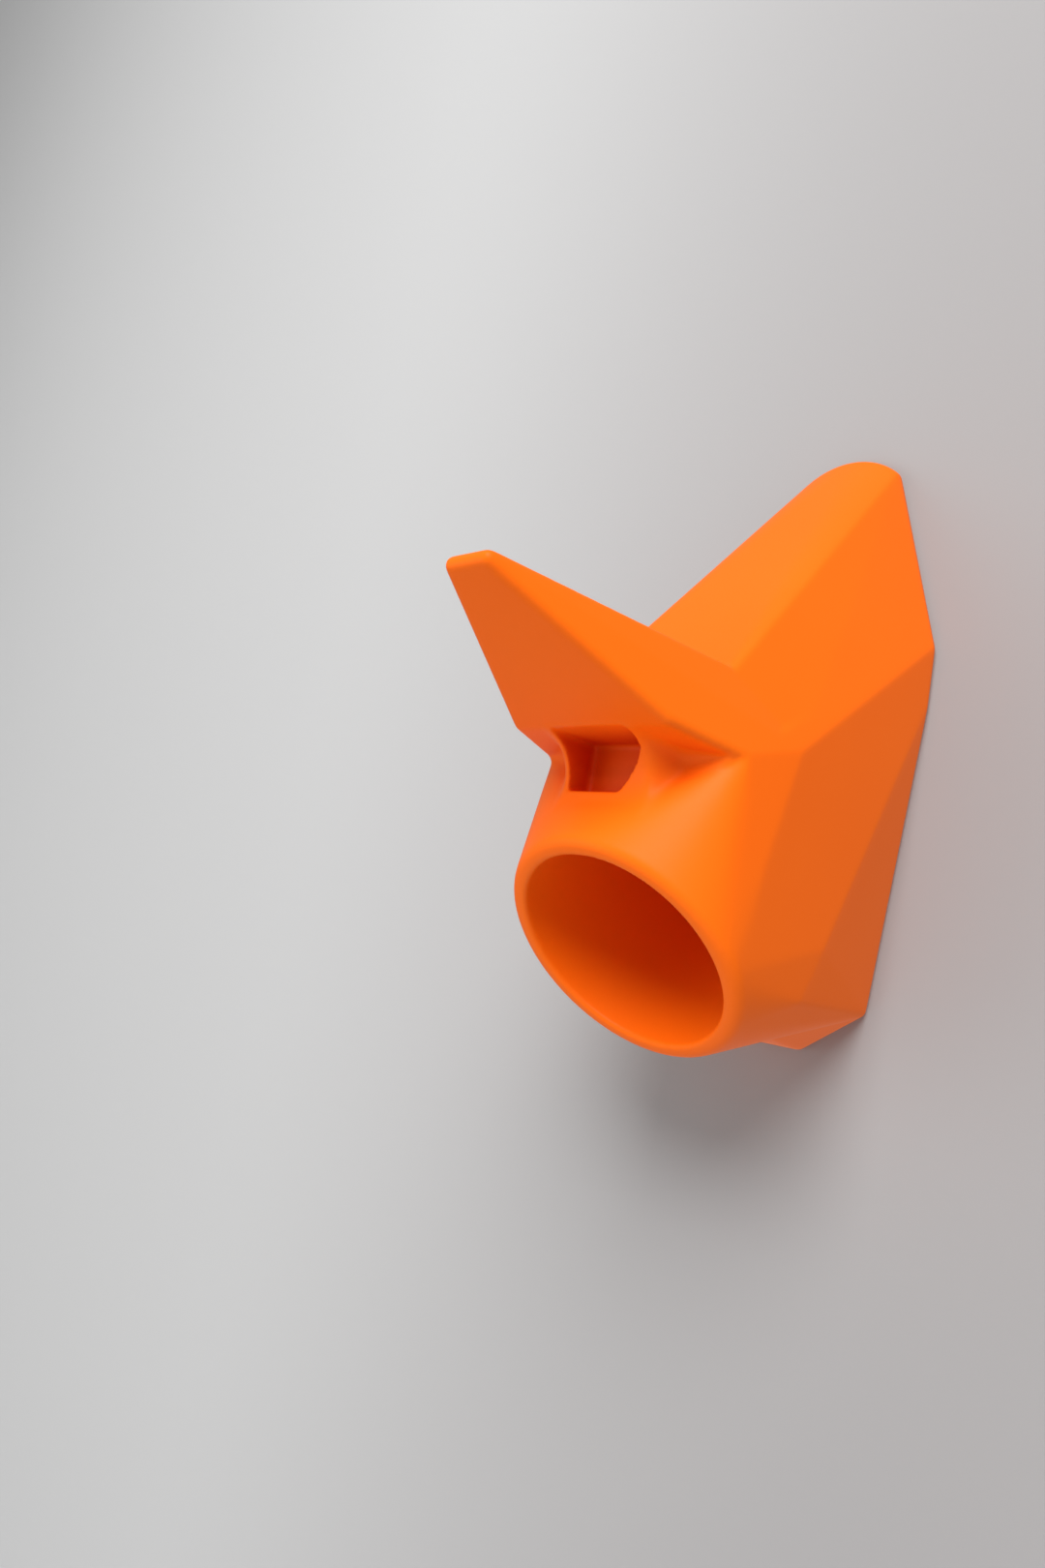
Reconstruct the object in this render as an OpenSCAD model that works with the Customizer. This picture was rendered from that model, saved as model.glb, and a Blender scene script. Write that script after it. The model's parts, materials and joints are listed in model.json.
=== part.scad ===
// Wall holder for the plug of a charging cable: a sloping socket that the plug's round nose
// pushes into, a pocket above it for the plug's latch, and a V-shaped hook over it for the cable.
// The back lies on the wall plane y = 0, y is negative away from the wall and z is up from the
// lower edge of the back. The part is the same on both sides of x = 0.

/* [Plug socket] */
// Outside diameter of the plug's round nose
nose_d = 43.8; // [40:0.1:46]
// Gap between the nose and the socket all round
nose_gap = 0.6; // [0.3:0.1:1]
// Thickness of the socket's wall
socket_wall = 4; // [3.5:0.5:6]
// Slope of the socket, with its mouth down
socket_tilt = 45; // [42:1:48]
// Depth of the socket along its axis
socket_depth = 46; // [40:1:48]
// Distance of the mouth's centre from the wall
mouth_out = 59; // [57:1:63]
// Height of the mouth's centre above the lower edge
mouth_rise = 13.3; // [12:0.1:16]
// Round on the inner edge of the mouth
mouth_round = 1.2; // [0.6:0.2:1.6]
// Distance from the middle of the two creases along the top of the socket
crease_x = 13; // [12:0.5:15]
// Rise of the socket's top towards the hook
crown_rise = 2.4; // [1:0.2:3]

/* [Latch pocket] */
// Width of the pocket
latch_w = 19; // [16:0.5:21]
// Wall left between the pocket's floor and the bore
latch_floor = 2; // [1.5:0.5:4]
// Height of the pocket
latch_h = 10.5; // [8:0.5:12]
// How far the pocket's end lies in front of the mouth's centre
latch_front = 5.5; // [4:0.5:8]
// Round on the pocket's edges that run towards the wall
latch_round = 2.5; // [0.5:0.5:3.5]

/* [Cable hook] */
// Distance of the hook's tip from the wall
hook_reach = 113.6; // [107:0.2:118]
// Height of the top of the hook's tip
hook_rise = 73.6; // [71:0.2:77]
// Fall of the hook's top towards the valley
hook_fall = 6.2; // [5:0.2:8]
// Slope of the hook's underside
hook_under = 27; // [25:0.5:29]
// Distance of the valley from the wall
valley_out = 62.5; // [59:0.5:65]
// Amount by which each side draws in at the valley
valley_in = 1; // [0:0.2:2]
// Round where the hook's underside meets the socket
notch_r = 8; // [5:0.5:9]

/* [Wall back] */
// Height of the back
back_h = 139.6; // [132:0.2:148]
// Thickness of the back at its top
fin_t = 2.5; // [2:0.5:5]
// Radius of the two top corners
fin_corner = 11.5; // [6:0.5:13]
// Height on the wall at which the flat sides give way to the sloping ones
shoulder_h = 92.6; // [90:0.2:96]
// Lean of the sloping sides towards the top
lean_up = 17.2; // [16:0.2:18]
// Lean of the sloping sides towards the hook's tip
lean_out = 13.5; // [12.5:0.1:14]
// Distance from the wall to which the heel's lower corners reach
heel_out = 36; // [34:1:38]
// Amount by which each side draws in at the wall
heel_in = 6.2; // [4:0.2:8]
// Height of the heel's bevelled corners
heel_h = 11; // [9.5:0.5:13]
// Width of the heel's lower edge at the wall
heel_w = 12; // [8:1:16]
// Round on all outer edges
edge_r = 1.6; // [1:0.2:1.6]

/* [Wall fixing] */
// Diameter of the wall screws
screw_d = 4.2; // [3.5:0.1:5]
// Diameter of their heads
head_d = 8.4; // [7:0.1:9]
// Height of a screw's head
head_h = 3; // [2:0.5:4]
// Clearance round the screws and their heads
screw_gap = 0.3; // [0.2:0.05:0.5]
// Height of the lower screw, which is reached through the mouth
low_screw_h = 22; // [20:0.5:24]
// Distance from the lower screw up to the upper one, where the holder hangs
screw_pitch = 80; // [76:1:84]
// Drop of the holder onto the upper screw
hang_drop = 9; // [8:0.5:12]
// Thickness left behind a screw's head
lip_t = 3; // [2.5:0.5:4]

/* [Hidden] */
$fn = 64;
round_fn = 16;
bore_r = nose_d / 2 + nose_gap;
half_w = bore_r + socket_wall;
// How far the uncut body runs on behind the wall plane
over = 6;
far = 200;
// Unit steps along the socket, inwards, and across it, upwards, as (y, z)
along = [cos(socket_tilt), sin(socket_tilt)];
across = [-sin(socket_tilt), cos(socket_tilt)];
mouth = [-mouth_out, mouth_rise];
function from_mouth(s, w) = mouth + s * along + w * across;
// A sloping side drawn in by the edge round lies this much nearer the middle
slope_in = edge_r * norm([1, tan(lean_out), tan(lean_up)]);
// Half width between the sloping sides at a place (y, z), drawn in by the edge round
function slope_x(p) =
    half_w - slope_in - tan(lean_up) * (p[1] - shoulder_h) + tan(lean_out) * p[0];
// Height at which that is the half width between the flat sides
function shoulder_z(y) =
    shoulder_h + (tan(lean_out) * y - slope_in + edge_r) / tan(lean_up);
// The place (y, z) on the sloping side, or on the flat one below it, as (x, y, z)
function on_slope(p) = [min(slope_x(p), half_w - edge_r), p[0], p[1]];
function on_side(y) = [half_w - edge_r, y, shoulder_z(y)];
// The point behind the wall plane on the line from one point through another on the wall
function behind(front, wall) = wall + (wall - front) * over / -front[1];

// Centres of the edge rounds in the side view, as (y, z)
tip = [edge_r - hook_reach, hook_rise - edge_r];
function hook_top(y) = [y, tip[1] - tan(hook_fall) * (y - tip[0])];
function hook_low(y) = [y, tip[1] - tan(hook_under) * (y - tip[0])];
// Distance from the mouth to the notch between hook and socket, and the notch's end
notch_s = 26.5;
crown_r = half_w + crown_rise;
notch = from_mouth(notch_s, crown_r - edge_r);
crease = concat([crease_x], from_mouth(notch_s - 1.5, crown_r - edge_r));
bend = hook_low(-mouth_out - 18.4);
inside = from_mouth(notch_s + 12, half_w - 12);
// Lean of the hook's underside away from square to the socket, and the distance from the mouth
// at which its line meets the outside of the socket
under_lean = 90 - socket_tilt - hook_under;
under = bend - [0, edge_r / cos(hook_under)] - mouth;
corner_s = under * along + tan(under_lean) * (under * across - half_w);
valley_z = hook_top(-valley_out)[1] + edge_r / cos(hook_fall);
fin_slope = atan2(back_h - valley_z, valley_out - fin_t);
valley = [-valley_out, valley_z] + edge_r * [sin(fin_slope), -cos(fin_slope)];
at_valley = on_slope(valley) - [valley_in, 0, 0];

// Corners of the lower body on one side
shoulder_y = 12 - mouth_out;
side_low = [half_w - edge_r, 5.4 - heel_out, mouth_rise + 7.7];
side_wall = [half_w - edge_r, 0, shoulder_h - 11.7];
heel_front = [half_w - 1.1 - edge_r, edge_r - heel_out, heel_h];
heel_wall = [half_w - heel_in - edge_r, 0, heel_h];
base_front = [heel_w / 2 + 8, edge_r - heel_out, 3 + edge_r];
base_wall = [heel_w / 2, 0, edge_r];

// A ball at a point and at its mirror image
module pair(p) {
    for (k = [-1, 1])
        translate([k * p[0], p[1], p[2]])
            sphere(r = edge_r, $fn = round_fn);
}

// Disc of radius r with a rounded edge, its round's middle in the plane z = 0
module round_disc(r) {
    rotate_extrude()
        translate([r - edge_r, 0])
            circle(r = edge_r, $fn = round_fn);
}

// Puts z = 0 in the plane of the mouth, with z going into the socket and -y up across it
module at_mouth() {
    translate([0, mouth[0], mouth[1]])
        rotate([socket_tilt - 90, 0, 0])
            children();
}

module hook() {
    hull() {
        for (p = [tip, inside, notch, bend])
            pair(on_slope(p));
        pair(at_valley);
        pair(on_side(shoulder_y));
        // The underside runs on down to the socket in the middle
        pair(concat([crease_x], from_mouth(corner_s + edge_r, half_w)));
    }
}

module fin() {
    corner_z = back_h - fin_corner;
    corner_x = slope_x([-fin_t, corner_z]) + slope_in - fin_corner / cos(lean_up);
    hull() {
        for (k = [-1, 1], y = [edge_r - fin_t, over])
            translate([k * corner_x, y, corner_z])
                rotate([90, 0, 0])
                    round_disc(fin_corner, $fn = 32);
        pair(at_valley);
        pair(on_slope(inside));
        pair(on_side(shoulder_y));
        pair(on_side(over));
        pair(behind(side_low, side_wall));
    }
}

module socket() {
    hull() {
        at_mouth()
            translate([0, 0, edge_r])
                round_disc(half_w);
        pair(on_slope(notch));
        pair(crease);
        pair(on_side(shoulder_y));
        pair(on_side(over));
        pair(side_low);
        pair(behind(side_low, side_wall));
        pair(heel_front);
        pair(behind(heel_front, heel_wall));
    }
    at_mouth()
        translate([0, 0, edge_r])
            cylinder(r = half_w, h = notch_s);
}

// Foot of the back, below and behind the socket
module heel() {
    hull() {
        pair(heel_front);
        pair(behind(heel_front, heel_wall));
        pair(base_front);
        pair(behind(base_front, base_wall));
    }
}

// Straight blend that touches the hook's underside and the line of the two creases
module notch_blend() {
    floor_w = sqrt(pow(half_w, 2) - pow(crease_x, 2));
    floor_lean = atan2(crown_r - floor_w, notch_s - 1.5);
    above = floor_w - half_w + notch_r / cos(floor_lean);
    // Middle of the round across and along the socket, and where it touches
    mid_s = (corner_s * cos(under_lean) - above * sin(under_lean) - notch_r)
        / (cos(under_lean) + tan(floor_lean) * sin(under_lean));
    mid = [half_w + above + tan(floor_lean) * mid_s, mid_s];
    on_floor = mid + notch_r * [-cos(floor_lean), sin(floor_lean)];
    on_hook = mid + notch_r * [sin(under_lean), cos(under_lean)];
    end_x = latch_w / 2 + 0.8;
    at_mouth()
        intersection() {
            rotate([90, 0, -90])
                linear_extrude(height = 4 * crease_x, center = true)
                    difference() {
                        polygon([
                            on_floor,
                            on_hook,
                            [on_hook[0], corner_s + 3],
                            [floor_w - 2, corner_s + 3],
                            [floor_w - 2, on_floor[1]]
                        ]);
                        translate(mid)
                            circle(r = notch_r);
                    }
            // Its ends run back from the pocket to the creases
            rotate([90, 0, 0])
                linear_extrude(height = far)
                    polygon([
                        [-end_x, 0],
                        [end_x, 0],
                        [end_x, on_floor[1]],
                        [crease_x + 2, corner_s + 3],
                        [-crease_x - 2, corner_s + 3],
                        [-end_x, on_floor[1]]
                    ]);
        }
}

// Bore for the nose, with a rounded mouth
module socket_cut() {
    at_mouth() {
        translate([0, 0, -far / 4])
            cylinder(r = bore_r, h = far / 4 + socket_depth);
        rotate_extrude()
            difference() {
                translate([0, -mouth_round])
                    square([bore_r + mouth_round, 2 * mouth_round]);
                translate([bore_r + mouth_round, mouth_round])
                    circle(r = mouth_round, $fn = 32);
            }
    }
}

module round_square(w, h, r) {
    square([w - 2 * r, h], center = true);
    square([w, h - 2 * r], center = true);
    for (k = [-1, 1], j = [-1, 1])
        translate([k * (w / 2 - r), j * (h / 2 - r)])
            circle(r = r);
}

// Pocket that the plug's latch catches in, cut level into the blend under the hook
module latch_cut() {
    latch_z = mouth_rise + (bore_r + latch_floor - sin(socket_tilt) * latch_front) / cos(socket_tilt);
    translate([0, -mouth_out - latch_front, latch_z + latch_h / 2])
        rotate([90, 0, 0])
            linear_extrude(height = hook_reach - mouth_out)
                round_square(latch_w, latch_h, latch_round);
}

// Screw through the heel, with room for its head inside the socket
module low_screw_cut() {
    translate([0, 0, low_screw_h])
        rotate([90, 0, 0]) {
            translate([0, 0, -over])
                cylinder(d = screw_d + 2 * screw_gap, h = mouth_out);
            translate([0, 0, lip_t + 4])
                cylinder(d = head_d + 2 * screw_gap, h = mouth_out - lip_t - 4);
        }
}

// Keyhole in the back: the head goes in below and the screw slides up behind the lip
module keyhole_cut() {
    slot = screw_d + 2 * screw_gap;
    room = head_d + 2 * screw_gap;
    deep = lip_t + head_h + screw_gap;
    translate([0, 0, low_screw_h + screw_pitch])
        rotate([90, 0, 0]) {
            translate([0, 0, -over])
                cylinder(d = slot, h = over + deep);
            translate([0, 0, lip_t])
                cylinder(d = room, h = deep - lip_t);
            translate([0, -hang_drop, -over])
                cylinder(d = room, h = over + deep);
            translate([-slot / 2, -hang_drop, -over])
                cube([slot, hang_drop, over + deep]);
            translate([-room / 2, -hang_drop, lip_t])
                cube([room, hang_drop, deep - lip_t]);
        }
}

module holder() {
    color([0.98, 0.42, 0.03])
        difference() {
            // The balls are faceted, so the body is set to its full width as one shape
            resize([2 * half_w, 0, 0]) {
                hook();
                fin();
                socket();
                heel();
                notch_blend();
            }
            translate([-far, 0, -far])
                cube([2 * far, far, 2 * far]);
            socket_cut();
            latch_cut();
            low_screw_cut();
            keyhole_cut();
        }
}

holder();
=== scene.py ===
# %% [markdown]
# # A wall holder for a charging plug
# The holder is one moulded piece of satin orange plastic. A sloping round socket takes the nose of
# a plug, a small pocket above it takes the plug's latch, and a pointed hook over both makes a V
# with the tall fin behind it, where the cable hangs. The measured solid is loaded first. It fixes
# the frame: the back lies on the wall plane y = 0, z is up, and all sizes are in metres.

# %% Load the measured solid
import json
from math import atan2, cos, radians, sin, sqrt, tan

import bpy
from mathutils import Matrix, Vector


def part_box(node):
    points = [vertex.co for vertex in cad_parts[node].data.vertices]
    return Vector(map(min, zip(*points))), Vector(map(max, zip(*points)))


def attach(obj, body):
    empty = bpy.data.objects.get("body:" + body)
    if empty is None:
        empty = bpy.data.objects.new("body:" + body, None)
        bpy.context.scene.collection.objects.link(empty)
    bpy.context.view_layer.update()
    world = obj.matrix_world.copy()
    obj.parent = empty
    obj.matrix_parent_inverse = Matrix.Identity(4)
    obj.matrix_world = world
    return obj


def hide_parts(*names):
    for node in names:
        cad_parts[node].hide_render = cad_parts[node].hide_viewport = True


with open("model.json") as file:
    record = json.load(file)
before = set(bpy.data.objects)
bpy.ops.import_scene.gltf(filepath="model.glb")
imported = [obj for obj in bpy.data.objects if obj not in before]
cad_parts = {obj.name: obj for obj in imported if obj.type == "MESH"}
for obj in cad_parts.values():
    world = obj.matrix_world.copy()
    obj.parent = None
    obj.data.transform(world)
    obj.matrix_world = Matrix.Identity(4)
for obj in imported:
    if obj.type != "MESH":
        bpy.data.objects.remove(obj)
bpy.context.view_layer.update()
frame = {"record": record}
low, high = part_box("holder")
print("solid from", [round(v, 4) for v in low], "to", [round(v, 4) for v in high])

# %% [markdown]
# ## Sizes
# The overall sizes come from the solid's box, and the socket's from the record, which gives the
# axis and the radius of its bore. The other numbers place the slopes and edges of the flat faces.
# Most places on the holder are easiest to give from the mouth of the socket: how far up across it,
# and how far into it.

# %% Sizes of the holder
MM = 0.001
HALF_W = high.x
REACH = -low.y
BACK_H = high.z
EDGE_R = 1.6 * MM

bore = next(m for m in frame["record"]["mounts"] if m["name"] == "plug_socket")
BORE_R = bore["dims"]["r_mm"] * MM
BORE_MIDDLE, BORE_DEPTH = 23 * MM, 46 * MM
INWARDS = -Vector(bore["axis"])
UP_ACROSS = Vector((0, -INWARDS.z, INWARDS.y))
MOUTH = Vector(bore["pos_m"]) - BORE_MIDDLE * INWARDS
MIRROR_X = Vector((-1, 1, 1))


def at_mouth(x, w, s):
    """The place x to the side, w up across the socket and s into it from the mouth's middle."""
    return MOUTH + Vector((x, 0, 0)) + w * UP_ACROSS + s * INWARDS


print("mouth at", [round(v / MM, 1) for v in MOUTH], "bore radius", round(BORE_R / MM, 2))

# %% [markdown]
# ## Working by hand, in code
# The body is made of faceted blocks with softly rounded edges. A quick way to such a block is to put
# a small ball at each of its corners and to stretch a skin over all the balls, which is the Convex
# Hull tool in edit mode. The skin is flat between the balls and round where it bends over them, so
# the edges come out rounded by the radius of the balls, and no bevel is needed.

# %% Tools for balls and skins
RING_STEPS, TUBE_STEPS, BALL_LEVEL = 160, 24, 4


def start(piece=None):
    """Leaves edit mode and deselects everything, then selects the piece to work on, if any."""
    if bpy.context.mode != "OBJECT":
        bpy.ops.object.mode_set(mode="OBJECT")
    bpy.ops.object.select_all(action="DESELECT")
    if piece:
        piece.select_set(True)
        bpy.context.view_layer.objects.active = piece


def named(name):
    """Names the piece that was just made, and its mesh."""
    piece = bpy.context.object
    piece.name = piece.data.name = name
    return piece


def settle():
    """Writes the piece's place into its mesh, so that the object itself sits at the origin."""
    bpy.ops.object.transform_apply(location=True, rotation=True, scale=True)


def tell(piece):
    """Prints how many faces a piece has and how large it is."""
    size = [round(v / MM, 1) for v in piece.dimensions]
    print(piece.name, "has", len(piece.data.polygons), "faces and measures", size, "mm")


def ring(radius, tube, place, turn):
    """A rounded ring to stretch a skin over, as one object."""
    start()
    bpy.ops.mesh.primitive_torus_add(major_radius=radius - tube, minor_radius=tube,
                                     major_segments=RING_STEPS, minor_segments=TUBE_STEPS,
                                     location=place, rotation=turn)
    settle()
    return bpy.context.object


def skin(name, corners, rings=()):
    """A closed skin over balls at these corners, on both sides of the middle, and over rings."""
    start()
    bpy.ops.mesh.primitive_ico_sphere_add(subdivisions=BALL_LEVEL, radius=EDGE_R, location=corners[0])
    settle()
    piece = named(name)
    for extra in rings:
        extra.select_set(True)
    bpy.ops.object.join()
    bpy.ops.object.mode_set(mode="EDIT")
    for corner in [*corners[1:], *(c * MIRROR_X for c in corners)]:
        bpy.ops.mesh.primitive_ico_sphere_add(subdivisions=BALL_LEVEL, radius=EDGE_R, location=corner)
    bpy.ops.mesh.select_all(action="SELECT")
    bpy.ops.mesh.convex_hull(join_triangles=False)
    bpy.ops.mesh.select_all(action="SELECT")
    bpy.ops.mesh.normals_make_consistent(inside=False)
    bpy.ops.object.mode_set(mode="OBJECT")
    tell(piece)
    return piece


# %% [markdown]
# ## Corners of the body
# The sides of the holder are flat low down and slope inwards above a shoulder line, which runs from
# the wall out along the hook. All the corners below are the middles of balls, so they lie inside
# the faces by the radius of the edges.

# %% Corners
LEAN_UP, LEAN_OUT = radians(17.2), radians(13.5)
SHOULDER_H = 92.6 * MM
SLOPE_IN = EDGE_R * sqrt(1 + tan(LEAN_OUT) ** 2 + tan(LEAN_UP) ** 2)


def slope_x(place):
    """Half width between the sloping sides at the height and depth of a place."""
    return HALF_W - SLOPE_IN - tan(LEAN_UP) * (place.z - SHOULDER_H) + tan(LEAN_OUT) * place.y


def on_slope(place):
    """The place moved sideways onto the sloping side, or onto the flat side where that is nearer."""
    return Vector((min(slope_x(place), HALF_W - EDGE_R), place.y, place.z))


def on_side(y):
    """The point of the shoulder line at this depth."""
    rise = (tan(LEAN_OUT) * y - SLOPE_IN + EDGE_R) / tan(LEAN_UP)
    return Vector((HALF_W - EDGE_R, y, SHOULDER_H + rise))


def at_wall(front, wall):
    """The ball that touches the wall, on the line from one point to another on the wall plane."""
    return wall + (front - wall) * EDGE_R / -front.y


HOOK_TOP_Z, HOOK_FALL, HOOK_UNDER = 73.6 * MM, radians(6.2), radians(27)
VALLEY_OUT, VALLEY_IN, FIN_T = 61.5 * MM, 1 * MM, 4 * MM
tip = Vector((0, EDGE_R - REACH, HOOK_TOP_Z - EDGE_R))


def hook_line(y, fall):
    """The point at this depth on a line that falls from the hook's tip towards the wall."""
    return Vector((0, y, tip.z - tan(fall) * (y - tip.y)))


valley_z = hook_line(-VALLEY_OUT, HOOK_FALL).z + EDGE_R / cos(HOOK_FALL)
fin_slope = atan2(BACK_H - valley_z, VALLEY_OUT - FIN_T)
valley = Vector((0, EDGE_R * sin(fin_slope) - VALLEY_OUT, valley_z - EDGE_R * cos(fin_slope)))
valley = on_slope(valley) - Vector((VALLEY_IN, 0, 0))

NOTCH_S, CROWN_R = 26.5 * MM, HALF_W + 3.2 * MM
CREASE_X, CREASE_S = 12.2 * MM, NOTCH_S - 2.9 * MM
BEND_OUT, SHOULDER_IN, BURIED = 18.4 * MM, 12 * MM, 12 * MM
notch = on_slope(at_mouth(0, CROWN_R - EDGE_R, NOTCH_S))
crease = at_mouth(CREASE_X, CROWN_R - EDGE_R, CREASE_S)
bend = on_slope(hook_line(MOUTH.y - BEND_OUT, HOOK_UNDER))
inside = on_slope(at_mouth(0, HALF_W - BURIED, NOTCH_S + BURIED))
shoulder = on_side(MOUTH.y + SHOULDER_IN)

HEEL_OUT, HEEL_IN, HEEL_H, HEEL_W = 36 * MM, 5.5 * MM, 11 * MM, 12 * MM
HEEL_STEP, BASE_WIDER, BASE_RISE = 1.1 * MM, 8 * MM, 3 * MM
SIDE_OUT, SIDE_LOW_Z, SIDE_WALL_Z = HEEL_OUT - 5.4 * MM, MOUTH.z + 7.7 * MM, SHOULDER_H - 11.7 * MM
side_low = Vector((HALF_W - EDGE_R, -SIDE_OUT, SIDE_LOW_Z))
side_wall = Vector((HALF_W - EDGE_R, 0, SIDE_WALL_Z))
heel_front = Vector((HALF_W - HEEL_STEP - EDGE_R, EDGE_R - HEEL_OUT, HEEL_H))
heel_wall = Vector((HALF_W - HEEL_IN - EDGE_R, 0, HEEL_H))
base_front = Vector((HEEL_W / 2 + BASE_WIDER, EDGE_R - HEEL_OUT, BASE_RISE + EDGE_R))
base_wall = Vector((HEEL_W / 2, 0, EDGE_R))
print("valley at", [round(v / MM, 1) for v in valley], "bend at", [round(v / MM, 1) for v in bend])

# %% [markdown]
# ## Fin, hook, socket and heel
# The fin is the tall back, and its crown is one round arc, so its skin also goes over a row of balls.
# The hook is a wedge that leans on the fin. Its underside bends once, towards the notch above the
# socket. The socket's skin goes over the ring of its rim, so the round rim runs into the flat sides
# with no seam, and a low ridge runs along each side of its top. A plain collar closes it below. The
# heel is the bevelled foot under it.

# %% Skins of the four blocks
CROWN_ARC, CROWN_TURN, CROWN_STEPS = 18.5 * MM, radians(43), 7
RIM_R = 2.2 * MM
MOUTH_FRAME = Matrix((Vector((1, 0, 0)), -UP_ACROSS, INWARDS)).transposed().to_4x4()
MOUTH_FRAME.translation = MOUTH
UPRIGHT = (radians(90), 0, 0)

side_back, heel_back = at_wall(side_low, side_wall), at_wall(heel_front, heel_wall)
crown = []
for i in range(CROWN_STEPS + 1):
    turn = CROWN_TURN * i / CROWN_STEPS
    x, z = (CROWN_ARC - EDGE_R) * sin(turn), (CROWN_ARC - EDGE_R) * cos(turn)
    crown += [Vector((x, y, BACK_H - CROWN_ARC + z)) for y in (EDGE_R - FIN_T, -EDGE_R)]
fin = skin("fin", [valley, inside, shoulder, on_side(-EDGE_R), side_back, *crown])
hook = skin("hook", [on_slope(tip), inside, notch, bend, valley, shoulder])
rim = ring(HALF_W, RIM_R, at_mouth(0, 0, RIM_R), MOUTH_FRAME.to_euler())
CREASE_TURN, RIDGE, RIDGE_PARTS = radians(33), 0.5 * MM, (0.3, 0.5, 0.7)
crease_low = at_mouth((HALF_W - EDGE_R) * sin(CREASE_TURN), (HALF_W - EDGE_R) * cos(CREASE_TURN), RIM_R)
raised = RIDGE * at_mouth(sin(CREASE_TURN), cos(CREASE_TURN), 0) - RIDGE * MOUTH
ridge = [crease_low.lerp(crease, part) + raised for part in RIDGE_PARTS]
socket = skin("socket", [notch, crease, *ridge, shoulder, on_side(-EDGE_R), side_low, side_back,
                         heel_front, heel_back], [rim])
heel = skin("heel", [heel_front, heel_back, base_front, at_wall(base_front, base_wall)])

ROD_STEPS = 128


def rod(name, radius, depth, place, turn):
    """A round rod of this depth, with its near end at the place."""
    start()
    bpy.ops.mesh.primitive_cylinder_add(vertices=ROD_STEPS, radius=radius, depth=depth,
                                        location=(0, 0, depth / 2))
    settle()
    bpy.context.object.location, bpy.context.object.rotation_euler = place, turn
    settle()
    return named(name)


collar = rod("collar", HALF_W, NOTCH_S, at_mouth(0, 0, RIM_R), MOUTH_FRAME.to_euler())

# %% [markdown]
# ## The hollow under the hook
# Beside the pocket, the hook's underside runs into the top of the socket in a hollow curve, which
# gets tighter towards both sides and ends in the sharp notch. It is a block that fills the corner,
# with a thick rod cut out of it. Its two ends are then extruded sideways in steps, and each step is
# scaled down towards the corner, because a smaller round in a corner is a smaller copy of a large one.

# %% Filler of the corner


def block(name, corner, opposite):
    """A box between two opposite corners."""
    start()
    a, b = Vector(corner), Vector(opposite)
    bpy.ops.mesh.primitive_cube_add(size=1, location=(a + b) / 2)
    bpy.context.object.dimensions = [abs(v) for v in b - a]
    settle()
    return named(name)


def trim(piece, point, outward):
    """Cuts off what lies beyond a plane, and closes the cut."""
    start(piece)
    bpy.ops.object.mode_set(mode="EDIT")
    bpy.ops.mesh.select_all(action="SELECT")
    bpy.ops.mesh.bisect(plane_co=point, plane_no=Vector(outward).normalized(),
                        use_fill=True, clear_outer=True)
    bpy.ops.object.mode_set(mode="OBJECT")


def modify(piece, kind, **settings):
    """Adds a modifier with these settings and applies it at once."""
    start(piece)
    modifier = piece.modifiers.new(kind.title(), kind)
    for key, value in settings.items():
        setattr(modifier, key, value)
    bpy.ops.object.modifier_apply(modifier=modifier.name)


def cut_away(piece, tool):
    """Takes the tool's solid out of the piece, and the tool out of the scene."""
    modify(piece, "BOOLEAN", object=tool, operation="DIFFERENCE", solver="MANIFOLD")
    bpy.data.objects.remove(tool)


def onto_socket(piece):
    """Puts a piece that was made upright at the origin onto the socket's axis."""
    start(piece)
    piece.matrix_world = MOUTH_FRAME @ piece.matrix_world
    settle()
    return piece


BLEND_R, BLEND_X, BACKED, NEAR = 9 * MM, 10.3 * MM, 2 * MM, 0.01 * MM
CORNER_W, CORNER_S = CROWN_R, 22.8 * MM
HOOK_TURN, FLOOR_TURN = radians(53.6), radians(10)
half_turn, middle_turn = (HOOK_TURN + FLOOR_TURN) / 2, (HOOK_TURN - FLOOR_TURN) / 2
mid_w = CORNER_W + BLEND_R / sin(half_turn) * sin(middle_turn)
mid_s = CORNER_S - BLEND_R / sin(half_turn) * cos(middle_turn)
touch = BLEND_R / tan(half_turn)
rod_l = 6 * BLEND_X

# Upright at the origin, -y is up across the socket and z goes into it
filler = block("corner_filler",
               (-BLEND_X, -CORNER_W - touch * sin(HOOK_TURN), CORNER_S - touch * cos(FLOOR_TURN)),
               (BLEND_X, 2 * BACKED - CORNER_W, CORNER_S + BACKED))
cut_away(filler, rod("blend_rod", BLEND_R, rod_l, (-rod_l / 2, -mid_w, mid_s), (0, radians(90), 0)))

# Distance from the middle in mm, size, and depth in mm of each step of the ends
END_STEPS = [(10.9, 0.95, 22.8), (11.6, 0.84, 22.8), (12.4, 0.66, 22.8), (13.2, 0.46, 22.8),
             (14, 0.3, 22.8), (21.5, 0.17, 24.2), (23, 0.1, 24.6)]
for side in (1, -1):
    for polygon in filler.data.polygons:
        polygon.select = side * polygon.center.x > BLEND_X - NEAR
    start(filler)
    bpy.ops.object.mode_set(mode="EDIT")
    bpy.ops.mesh.select_mode(type="FACE")
    x, size, depth = BLEND_X, 1, CORNER_S
    for step_x, step_size, step_s in END_STEPS:
        move = (side * (step_x * MM - x), 0, step_s * MM - depth)
        bpy.ops.mesh.extrude_region_move(TRANSFORM_OT_translate={"value": move})
        x, depth, ratio = step_x * MM, step_s * MM, step_size / size
        bpy.ops.transform.resize(value=(1, ratio, ratio), center_override=(side * x, -CORNER_W, depth))
        size = step_size
    bpy.ops.mesh.select_mode(type="VERT")
    bpy.ops.object.mode_set(mode="OBJECT")
filler = onto_socket(filler)
tell(filler)

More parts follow.
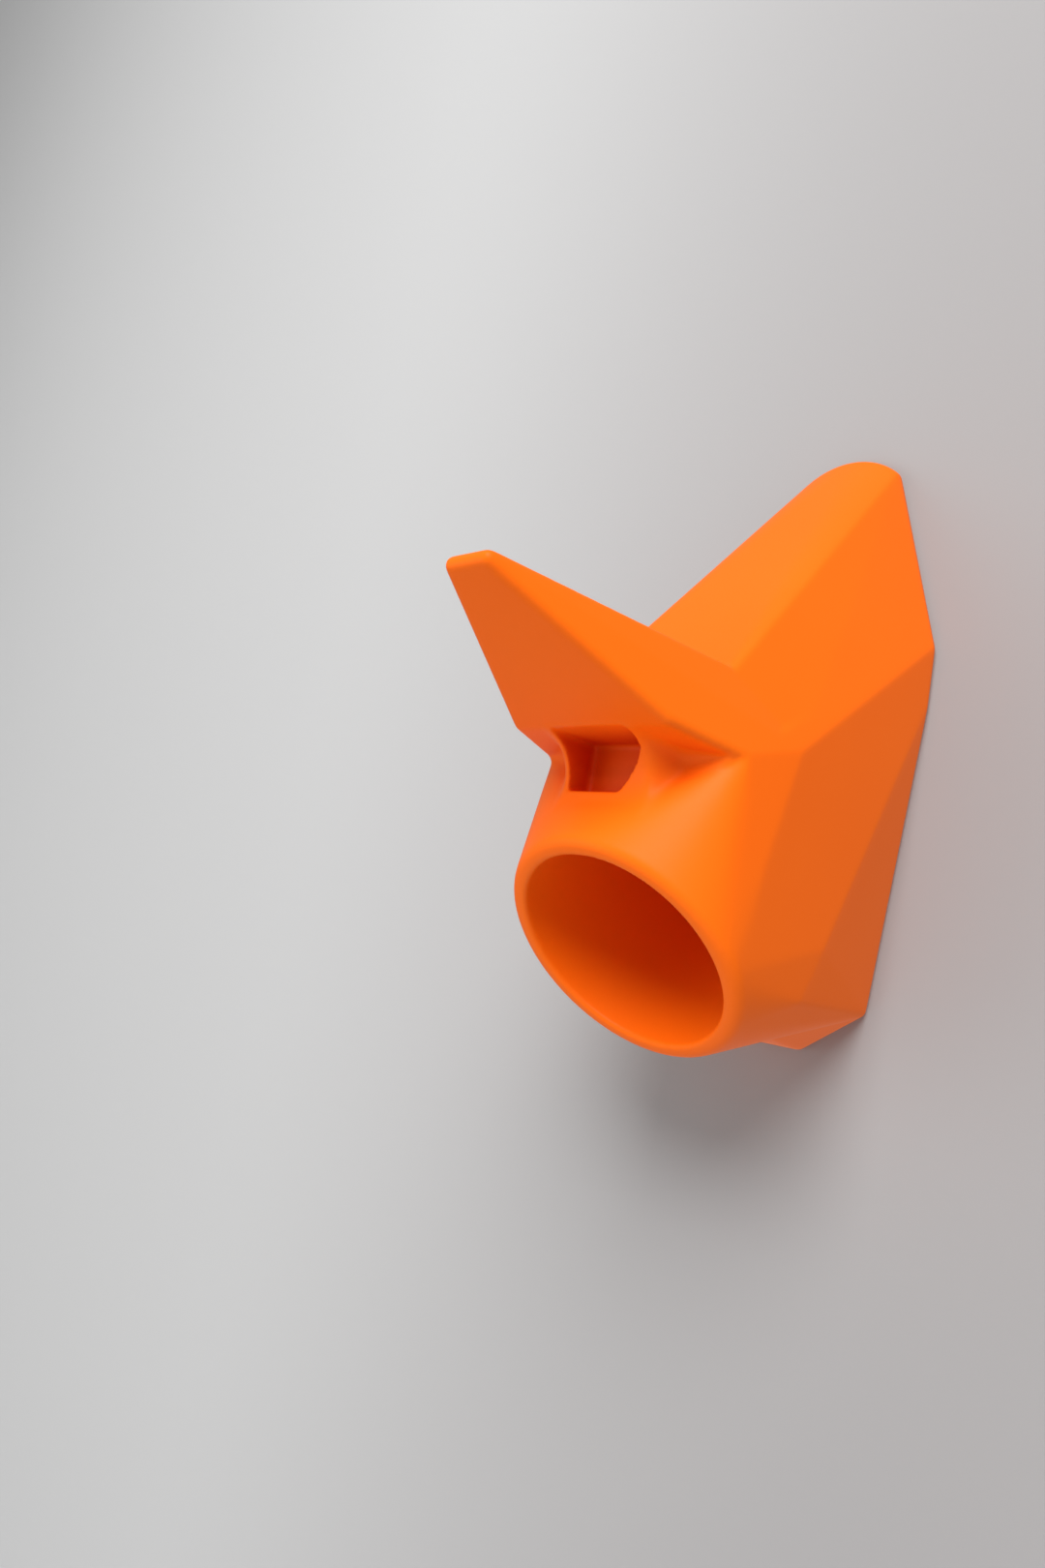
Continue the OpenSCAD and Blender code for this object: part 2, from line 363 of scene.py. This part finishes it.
# %% [markdown]
# ## One body
# The blocks overlap, so they are joined into one object and remeshed by voxels, which keeps only the
# outside of them all and leaves one even mesh.

# %% Join the blocks
VOXEL = 0.5 * MM
start(socket)
for piece in (fin, hook, heel, collar, filler):
    piece.select_set(True)
bpy.ops.object.join()
body = named("holder_body")
modify(body, "REMESH", mode="VOXEL", voxel_size=VOXEL)
tell(body)

# %% [markdown]
# ## Soft corners
# The filler still has a faint edge where it lies on the socket, and the flat sides end too sharply
# where the round socket begins. A sculptor would hold the smooth brush over such places. Here a vertex
# group is the brush: its weight fades with distance, and the Smooth modifier works through it.

# %% Smooth brushes
SMOOTHING = 0.5
CORNER_BRUSH_W, CORNER_BRUSH_S, CORNER_BRUSH_R, CORNER_ROUNDS = 32 * MM, 15 * MM, 12 * MM, 20
SIDE_BRUSH_R, SIDE_ROUNDS = 7 * MM, 60
# Where each brush has its full weight, and where it has none
CORNER_X = (11 * MM, 15 * MM)
SIDE_FAR_S, SIDE_NEAR_S = (20 * MM, 24 * MM), (8 * MM, 4 * MM)


def brush(name, rounds, weigh):
    """Smooths the body with the weight that a function gives to each place x, w, s on the socket."""
    group = body.vertex_groups.new(name=name)
    for vertex in body.data.vertices:
        away = vertex.co - MOUTH
        weight = weigh(abs(away.x), away.dot(UP_ACROSS), away.dot(INWARDS))
        if weight > 0:
            group.add([vertex.index], weight, "REPLACE")
    modify(body, "SMOOTH", factor=SMOOTHING, iterations=rounds, vertex_group=name)


def fade(value, full, none):
    """Goes from 1 to 0 as a value goes from one limit to the other."""
    return min(1, max(0, (none - value) / (none - full)))


def in_corner(x, w, s):
    """Weight in the hollow corner under the hook."""
    across = sqrt((w - CORNER_BRUSH_W) ** 2 + (s - CORNER_BRUSH_S) ** 2)
    return fade(x, *CORNER_X) * max(0, 1 - (across / CORNER_BRUSH_R) ** 2)


def along_side(x, w, s):
    """Weight along the line from the rim to the notch, where each flat side ends."""
    line_w = CROWN_R * (s - RIM_R) / (NOTCH_S - RIM_R)
    across = sqrt((w - line_w) ** 2 + (x - HALF_W) ** 2)
    ends = fade(s, *SIDE_FAR_S) * fade(s, *SIDE_NEAR_S)
    return ends * max(0, 1 - (across / SIDE_BRUSH_R) ** 2)


brush("corner_brush", CORNER_ROUNDS, in_corner)
brush("side_brush", SIDE_ROUNDS, along_side)
tell(body)

# %% [markdown]
# ## Hollows
# The socket's bore, the latch pocket and the places for the two wall screws are cut out with solid
# tools and the Boolean modifier. The bore's tool is drawn out of one ring, step by step, and flares
# at the mouth, so that the edge comes out rounded. The pocket is level, and one of its corners is
# cut off. The upper screw hangs in a keyhole: its head goes in below and slides up behind a lip.

# %% Cut the bore
BORE_STEPS, FLARE_STEPS, BORE_FLARE, BORE_LEAD = 192, 8, 0.8 * MM, 12 * MM


def flared_rod(name, radius, depth, flare, lead):
    """A rod down from the height depth, with a rounded flare at height 0 and a lead below it."""
    start()
    bpy.ops.mesh.primitive_circle_add(vertices=BORE_STEPS, radius=radius, fill_type="NGON",
                                      location=(0, 0, depth))
    settle()
    bpy.ops.object.mode_set(mode="EDIT")
    bpy.ops.mesh.select_all(action="SELECT")
    width, height = radius, depth
    turns = [radians(90 * i / FLARE_STEPS) for i in range(FLARE_STEPS + 1)]
    stops = [(radius + flare * (1 - cos(turn)), flare * (1 - sin(turn))) for turn in turns]
    for wide, stop in [*stops, (radius + flare, -lead)]:
        bpy.ops.mesh.extrude_region_move(TRANSFORM_OT_translate={"value": (0, 0, stop - height)})
        bpy.ops.transform.resize(value=(wide / width, wide / width, 1), center_override=(0, 0, stop))
        width, height = wide, stop
    bpy.ops.mesh.select_all(action="SELECT")
    bpy.ops.mesh.normals_make_consistent(inside=False)
    bpy.ops.object.mode_set(mode="OBJECT")
    return named(name)


cut_away(body, onto_socket(flared_rod("bore_tool", BORE_R, BORE_DEPTH, BORE_FLARE, BORE_LEAD)))
tell(body)

# %% Cut the latch pocket
POCKET_W, POCKET_LOW, POCKET_HIGH = 19 * MM, 42.5 * MM, 53 * MM
POCKET_BACK, POCKET_FRONT, POCKET_R = -64.5 * MM, -95 * MM, 0.8 * MM
CUT_FROM_Z, CUT_OUTWARD = 50.5 * MM, (8, 0, -6)
pocket = block("pocket_tool", (-POCKET_W / 2, POCKET_FRONT, POCKET_LOW),
               (POCKET_W / 2, POCKET_BACK, POCKET_HIGH))
trim(pocket, (POCKET_W / 2, 0, CUT_FROM_Z), CUT_OUTWARD)
modify(pocket, "BEVEL", width=POCKET_R, segments=4)
cut_away(body, pocket)
tell(body)

# %% Cut the screw holes
SCREW_R, HEAD_R, LIP_T, ROOM = 2.4 * MM, 4.5 * MM, 3 * MM, 6.3 * MM
LOW_SCREW_Z, HIGH_SCREW_Z, HANG_DROP = 22 * MM, 102 * MM, 9 * MM
LOW_LIP_T, INTO_BORE = LIP_T + 4 * MM, 40 * MM


def wall_rod(radius, near, far, z):
    """A rod that runs away from the wall, between two distances from it."""
    return rod("screw_tool", radius, far - near, (0, -near, z), UPRIGHT)


for tool in (
    wall_rod(SCREW_R, -BACKED, INTO_BORE, LOW_SCREW_Z),
    wall_rod(HEAD_R, LOW_LIP_T, INTO_BORE, LOW_SCREW_Z),
    wall_rod(SCREW_R, -BACKED, ROOM, HIGH_SCREW_Z),
    wall_rod(HEAD_R, LIP_T, ROOM, HIGH_SCREW_Z),
    wall_rod(HEAD_R, -BACKED, ROOM, HIGH_SCREW_Z - HANG_DROP),
    block("slot_tool", (-SCREW_R, BACKED, HIGH_SCREW_Z - HANG_DROP), (SCREW_R, -ROOM, HIGH_SCREW_Z)),
    block("room_tool", (-HEAD_R, -LIP_T, HIGH_SCREW_Z - HANG_DROP), (HEAD_R, -ROOM, HIGH_SCREW_Z)),
):
    cut_away(body, tool)
tell(body)

# %% [markdown]
# ## Finish of the mesh
# A second remesh and a few rounds of smoothing take the sharpness off the edges that the cuts left,
# as polishing the mould does. Decimate thins the flat faces, where the small quads do nothing. All
# this pulls the flat back a little out of true, so its points are set onto the wall plane again.

# %% Soften, thin and set flat
FINE_VOXEL, POLISH_ROUNDS, TRIANGLES, BACK_NEAR = 0.4 * MM, 5, 190000, 0.06 * MM
modify(body, "REMESH", mode="VOXEL", voxel_size=FINE_VOXEL)
modify(body, "SMOOTH", factor=SMOOTHING, iterations=POLISH_ROUNDS)
modify(body, "DECIMATE", ratio=min(1, TRIANGLES / (2 * len(body.data.polygons))))
for vertex in body.data.vertices:
    vertex.select = vertex.co.y > -BACK_NEAR
start(body)
bpy.ops.object.mode_set(mode="EDIT")
bpy.ops.transform.resize(value=(1, 0, 1), center_override=(0, 0, 0))
bpy.ops.object.mode_set(mode="OBJECT")
bpy.ops.object.shade_smooth()
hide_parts("holder")
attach(body, "root")
tell(body)

# %% [markdown]
# ## Shader maths as Python
# A socket of a node is wrapped in a small class, so that an expression such as `1 - grain * 0.2`
# adds the Math nodes it needs. `add` makes any other node from its type, settings and inputs. A Mix
# node has sockets of the same name for numbers and colours, so its colour sockets go by number.

# %% Wrap the node sockets
MIX_A, MIX_B, MIX_COLOUR = 6, 7, 2


class Value:
    """An output socket that takes part in sums."""

    def __init__(self, tree, socket):
        self.tree, self.socket = tree, socket

    def maths(self, operation, *values):
        return add(self.tree, "ShaderNodeMath", {"operation": operation}, dict(enumerate(values)))

    def __add__(self, other):
        return self.maths("ADD", self, other)

    def __radd__(self, other):
        return self.maths("ADD", other, self)

    def __sub__(self, other):
        return self.maths("SUBTRACT", self, other)

    def __rsub__(self, other):
        return self.maths("SUBTRACT", other, self)

    def __mul__(self, other):
        return self.maths("MULTIPLY", self, other)

    def __rmul__(self, other):
        return self.maths("MULTIPLY", other, self)


def add(tree, kind, settings=None, inputs=None, output=0):
    """Adds a node, and gives one of its outputs as a Value."""
    node = tree.nodes.new(kind)
    for key, value in (settings or {}).items():
        setattr(node, key, value)
    for key, value in (inputs or {}).items():
        if isinstance(value, Value):
            tree.links.new(value.socket, node.inputs[key])
        else:
            node.inputs[key].default_value = value
    return Value(tree, node.outputs[output]) if node.outputs else node


def mixed(tree, factor, first, second):
    """A colour between two others, by a factor."""
    return add(tree, "ShaderNodeMix", {"data_type": "RGBA"},
               {0: factor, MIX_A: first, MIX_B: second}, MIX_COLOUR)


def finish_material(name):
    """An empty material and its node tree."""
    material = bpy.data.materials.new(name)
    material.use_nodes = True
    material.node_tree.nodes.clear()
    return material, material.node_tree


# %% [markdown]
# ## Satin orange plastic
# The plastic is one colour right through. Its skin is a fine spark-eroded grain that scatters the
# light, so the gloss is soft, and the colour drifts very slightly over the part as pigment does.
# Painted shade: the base colour deepens towards red in the bore, the pocket and other hollows, where
# the Ambient Occlusion node finds little open air.

# %% Plastic
# The deep red is painted shade for the hollows; the two oranges are the plastic's own slight drift
ORANGE, WARM_ORANGE, PAINTED_SHADE_RED = (0.94, 0.140, 0.003, 1), (0.97, 0.152, 0.004, 1), (0.66, 0.020, 0.001, 1)
DRIFT_SCALE, GRAIN_SCALE, HOLLOW_REACH = 35, 2600, 0.02
CLOSED_AIR, OPEN_AIR, AIR_SAMPLES = 0.1, 0.68, 8
GRAIN_DEPTH, GRAIN_STRENGTH = 0.06 * MM, 0.12
SMOOTHEST, GRAIN_ROUGHNESS, GLOSS = 0.40, 0.12, 0.1

plastic, tree = finish_material("satin_orange_plastic")
place = add(tree, "ShaderNodeTexCoord", output="Object")
drift = add(tree, "ShaderNodeTexNoise", {}, {"Vector": place, "Scale": DRIFT_SCALE, "Detail": 2})
grain = add(tree, "ShaderNodeTexNoise", {},
            {"Vector": place, "Scale": GRAIN_SCALE, "Detail": 2, "Roughness": 0.6})
# Painted shade: little open air from the Ambient Occlusion node mixes the base colour towards deep red
open_air = add(tree, "ShaderNodeAmbientOcclusion", {"only_local": True, "samples": AIR_SAMPLES},
               {"Distance": HOLLOW_REACH}, "AO")
painted_shade_mask = add(tree, "ShaderNodeMapRange", {},
             {"Value": open_air, "From Min": CLOSED_AIR, "From Max": OPEN_AIR, "To Min": 1, "To Max": 0})
tone_and_painted_shade = mixed(tree, painted_shade_mask, mixed(tree, drift, ORANGE, WARM_ORANGE), PAINTED_SHADE_RED)
skin_bump = add(tree, "ShaderNodeBump", {},
                {"Strength": GRAIN_STRENGTH, "Distance": GRAIN_DEPTH, "Height": grain})
surface = add(tree, "ShaderNodeBsdfPrincipled", {},
              {"Base Color": tone_and_painted_shade, "Roughness": SMOOTHEST + grain * GRAIN_ROUGHNESS, "Normal": skin_bump,
               "Specular IOR Level": GLOSS})
add(tree, "ShaderNodeOutputMaterial", {}, {"Surface": surface})
body.data.materials.clear()
body.data.materials.append(plastic)
print("plastic has", len(tree.nodes), "nodes")

# %% [markdown]
# ## The stage
# The holder hangs on a wall, so the stage is a grey wall at its back and a pale floor further
# down. The wall's grey is painted darker towards the right, as painted shade. It shows from the front
# only and lets all other light through, so the back of the holder can be looked at as well.

# %% Wall and floor
# The darker grey and its x limits are painted shade on the wall
WALL_LIGHT, WALL_PAINTED_SHADE, FLOOR_PALE = (0.47, 0.47, 0.47, 1), (0.32, 0.31, 0.31, 1), (0.8, 0.8, 0.8, 1)
SHADE_START_X, SHADE_FULL_X, MATT = -0.22, 0.06, 0.9
WALL_SIZE, WALL_GAP, FLOOR_SIZE, FLOOR_Z = 4, 0.2 * MM, 6, -0.6

wall_paint, tree = finish_material("grey_wall_paint")
place = add(tree, "ShaderNodeTexCoord", output="Object")
across = add(tree, "ShaderNodeSeparateXYZ", {}, {"Vector": place}, "X")
# Painted shade: the wall's grey is mixed darker towards the right, between the two x limits
painted_shade_amount = add(tree, "ShaderNodeMapRange", {"interpolation_type": "SMOOTHSTEP"},
             {"Value": across, "From Min": SHADE_START_X, "From Max": SHADE_FULL_X, "To Min": 0, "To Max": 1})
shaded_grey = mixed(tree, painted_shade_amount, WALL_LIGHT, WALL_PAINTED_SHADE)
paint = add(tree, "ShaderNodeBsdfPrincipled", {}, {"Base Color": shaded_grey, "Roughness": MATT})
clear = add(tree, "ShaderNodeBsdfTransparent")
seen = add(tree, "ShaderNodeLightPath", output="Is Camera Ray")
behind = add(tree, "ShaderNodeNewGeometry", output="Backfacing")
shown = add(tree, "ShaderNodeMixShader", {}, {0: seen * (1 - behind), 1: clear, 2: paint})
add(tree, "ShaderNodeOutputMaterial", {}, {"Surface": shown})

floor_paint, tree = finish_material("pale_floor")
paint = add(tree, "ShaderNodeBsdfPrincipled", {}, {"Base Color": FLOOR_PALE, "Roughness": MATT})
add(tree, "ShaderNodeOutputMaterial", {}, {"Surface": paint})

start()
bpy.ops.mesh.primitive_plane_add(size=WALL_SIZE, location=(0, WALL_GAP, 0), rotation=UPRIGHT)
settle()
wall = named("wall")
wall.data.materials.append(wall_paint)
start()
bpy.ops.mesh.primitive_plane_add(size=FLOOR_SIZE, location=(0, 0, FLOOR_Z))
settle()
floor = named("floor")
floor.data.materials.append(floor_paint)

# %% [markdown]
# ## Light and camera
# A large soft lamp stands above and in front, a weak one fills from the left, and the world fills the
# shadows. The camera stands low to the right, looks up and is rolled a little, as in the photograph.

# %% Light
KEY_AT, KEY_SIZE, KEY_WATTS = (0.41, -0.97, 0.84), 0.85, 21.5
FILL_AT, FILL_SIZE, FILL_WATTS = (-0.70, -0.95, -0.10), 0.8, 2.5
WORLD_LIGHT = 0.40


def soft_lamp(name, place, aim, size, watts):
    """A round lamp that stands at a place and shines on the aim."""
    start()
    bpy.ops.object.light_add(type="AREA", location=place)
    lamp = bpy.context.object
    lamp.name = name
    lamp.data.shape = "DISK"
    lamp.data.size, lamp.data.energy = size, watts
    lamp.rotation_euler = (Vector(aim) - Vector(place)).to_track_quat("-Z", "Y").to_euler()


middle = (low + high) / 2
soft_lamp("key_lamp", KEY_AT, middle, KEY_SIZE, KEY_WATTS)
soft_lamp("fill_lamp", FILL_AT, middle, FILL_SIZE, FILL_WATTS)

world = bpy.data.worlds.new("studio")
bpy.context.scene.world = world
world.use_nodes = True
sky = world.node_tree.nodes["Background"]
sky.inputs["Color"].default_value = (1, 1, 1, 1)
sky.inputs["Strength"].default_value = WORLD_LIGHT
bpy.context.scene.view_settings.view_transform = "Standard"

# %% Camera
EYE = Vector((139.4, -223.0, 10.2)) * MM
AZIMUTH, ELEVATION, ROLL = radians(46.67), radians(-8.54), radians(10.17)
FOCAL_PX, PHOTO_H, SENSOR = 1149, 1620, 36

look = Vector((-sin(AZIMUTH) * cos(ELEVATION), cos(AZIMUTH) * cos(ELEVATION), -sin(ELEVATION)))
level = Vector((cos(AZIMUTH), sin(AZIMUTH), 0))
upright = level.cross(look)
right = cos(ROLL) * level + sin(ROLL) * upright
up = cos(ROLL) * upright - sin(ROLL) * level

start()
bpy.ops.object.camera_add()
camera = named("camera")
camera.matrix_world = Matrix.Translation(EYE) @ Matrix((right, up, -look)).transposed().to_4x4()
camera.data.sensor_width = SENSOR
camera.data.lens = SENSOR * FOCAL_PX / PHOTO_H
camera.data.clip_start, camera.data.clip_end = 0.01, 20
bpy.context.scene.camera = camera
print("lens", round(camera.data.lens, 2), "mm")
